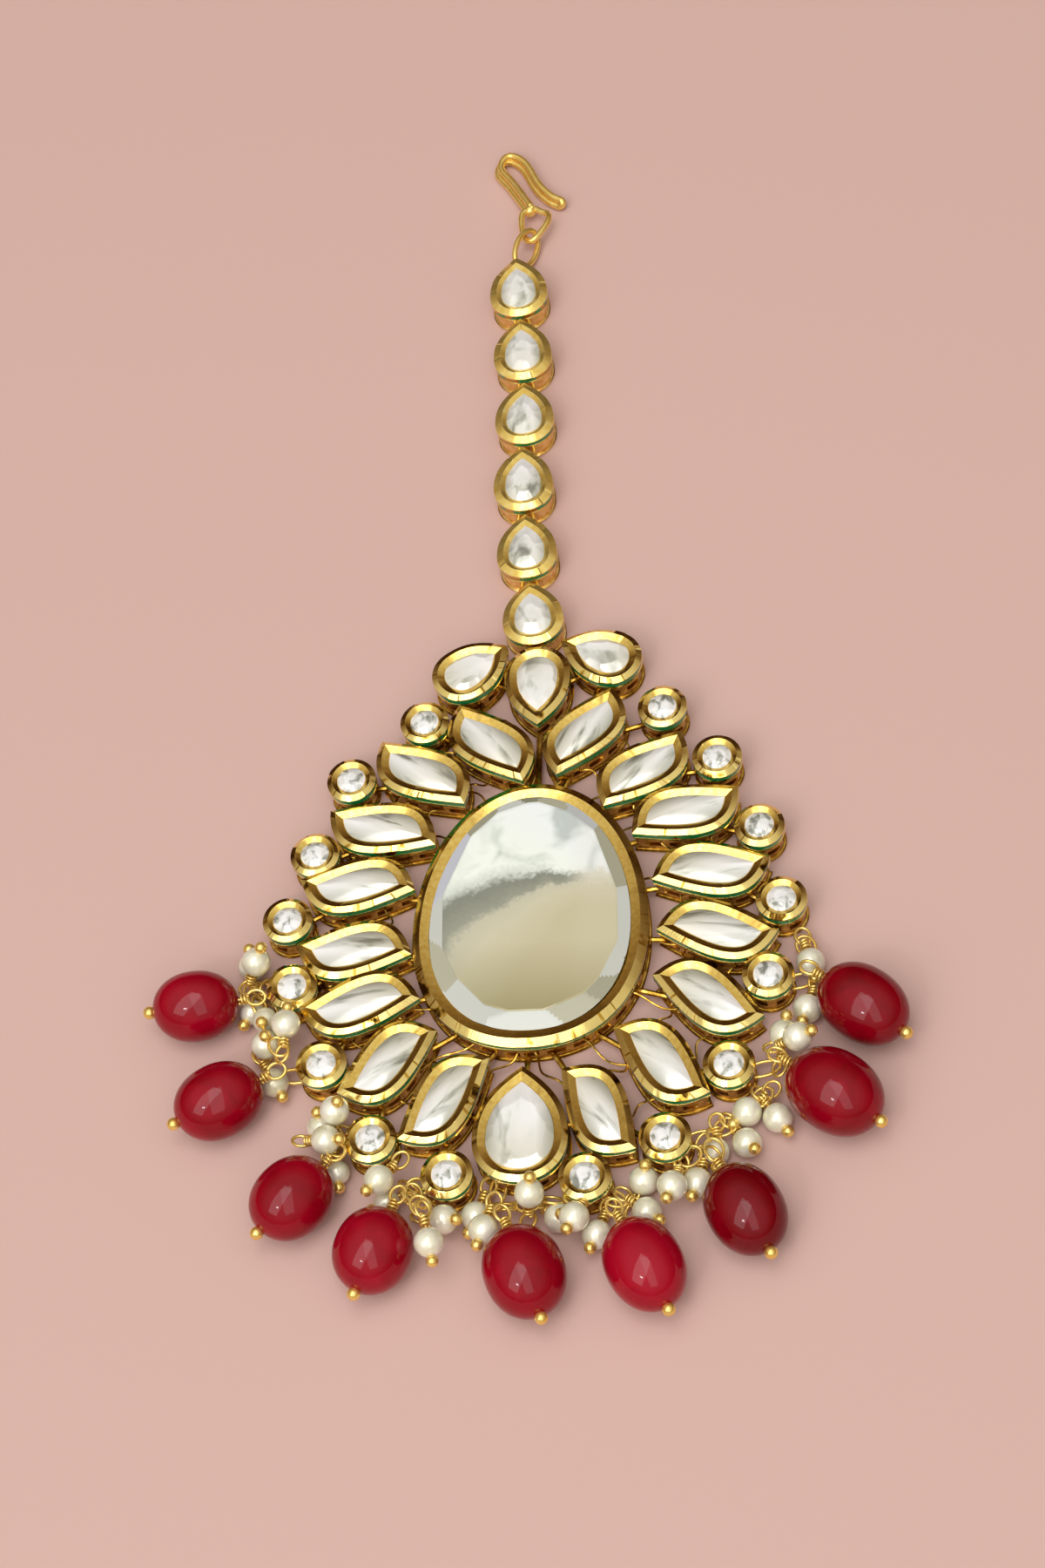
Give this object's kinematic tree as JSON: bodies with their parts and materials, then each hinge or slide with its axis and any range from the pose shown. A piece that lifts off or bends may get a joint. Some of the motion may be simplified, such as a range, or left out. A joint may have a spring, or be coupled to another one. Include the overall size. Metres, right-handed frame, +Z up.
{
  "type": "maang tikka",
  "caption": "Forehead jewel: a gilt flower of foiled stones in deep settings, fringed with red beads and small pearls, on a chain of pear-shaped cups with a hair hook.",
  "frame": {"origin": "bottom centre of the bounding box, on the surface the jewel lies on", "axes": "+Y along the chain from the centre stone towards the hook, +X to the right seen from above, +Z up out of the face of the stones"},
  "size_m": [0.1056, 0.203, 0.0109],
  "materials": {
    "gilt_metal": "gilded brass: burnished rims, satin inner slopes, tooled walls, a thin green enamel line under the rim",
    "gilt_wire": "gilded drawn wire, polished",
    "foiled_stone": "clear flat-cut stone over crinkled silver foil, wet gloss",
    "ruby_glass": "deep red glass bead, highly polished, faint inclusions",
    "pearl": "cream pearl with a soft lustre, on thin gilt head pins"
  },
  "bodies": {
    "root": {"body_frame": "gilt_metal", "centre_stone": "foiled_stone", "pear_stone_top": "foiled_stone", "pear_stone_bottom": "foiled_stone", "pear_stone_left": "foiled_stone", "pear_stone_right": "foiled_stone", "leaf_stone_left_1": "foiled_stone", "leaf_stone_left_2": "foiled_stone", "leaf_stone_left_3": "foiled_stone", "leaf_stone_left_4": "foiled_stone", "leaf_stone_left_5": "foiled_stone", "leaf_stone_left_6": "foiled_stone", "leaf_stone_left_7": "foiled_stone", "leaf_stone_left_8": "foiled_stone", "leaf_stone_right_1": "foiled_stone", "leaf_stone_right_2": "foiled_stone", "leaf_stone_right_3": "foiled_stone", "leaf_stone_right_4": "foiled_stone", "leaf_stone_right_5": "foiled_stone", "leaf_stone_right_6": "foiled_stone", "leaf_stone_right_7": "foiled_stone", "leaf_stone_right_8": "foiled_stone", "chain_cup_1": "gilt_metal", "chain_stone_1": "foiled_stone", "chain_link_1": "gilt_metal", "chain_cup_2": "gilt_metal", "chain_stone_2": "foiled_stone", "chain_link_2": "gilt_metal", "chain_cup_3": "gilt_metal", "chain_stone_3": "foiled_stone", "chain_link_3": "gilt_metal", "chain_cup_4": "gilt_metal", "chain_stone_4": "foiled_stone", "chain_link_4": "gilt_metal", "chain_cup_5": "gilt_metal", "chain_stone_5": "foiled_stone", "chain_link_5": "gilt_metal", "chain_cup_6": "gilt_metal", "chain_stone_6": "foiled_stone", "chain_link_6": "gilt_metal", "hook": "gilt_wire", "hook_ring": "gilt_wire", "ruby_bead_1": "ruby_glass", "pearl_bunch_1": "pearl", "ruby_bead_2": "ruby_glass", "pearl_bunch_2": "pearl", "ruby_bead_3": "ruby_glass", "pearl_bunch_3": "pearl", "ruby_bead_4": "ruby_glass", "pearl_bunch_4": "pearl", "ruby_bead_5": "ruby_glass", "pearl_bunch_5": "pearl", "ruby_bead_6": "ruby_glass", "pearl_bunch_6": "pearl", "ruby_bead_7": "ruby_glass", "pearl_bunch_7": "pearl", "ruby_bead_8": "ruby_glass", "pearl_bunch_8": "pearl", "ruby_bead_9": "ruby_glass", "pearl_bunch_9": "pearl"}
  },
  "joints": []
}
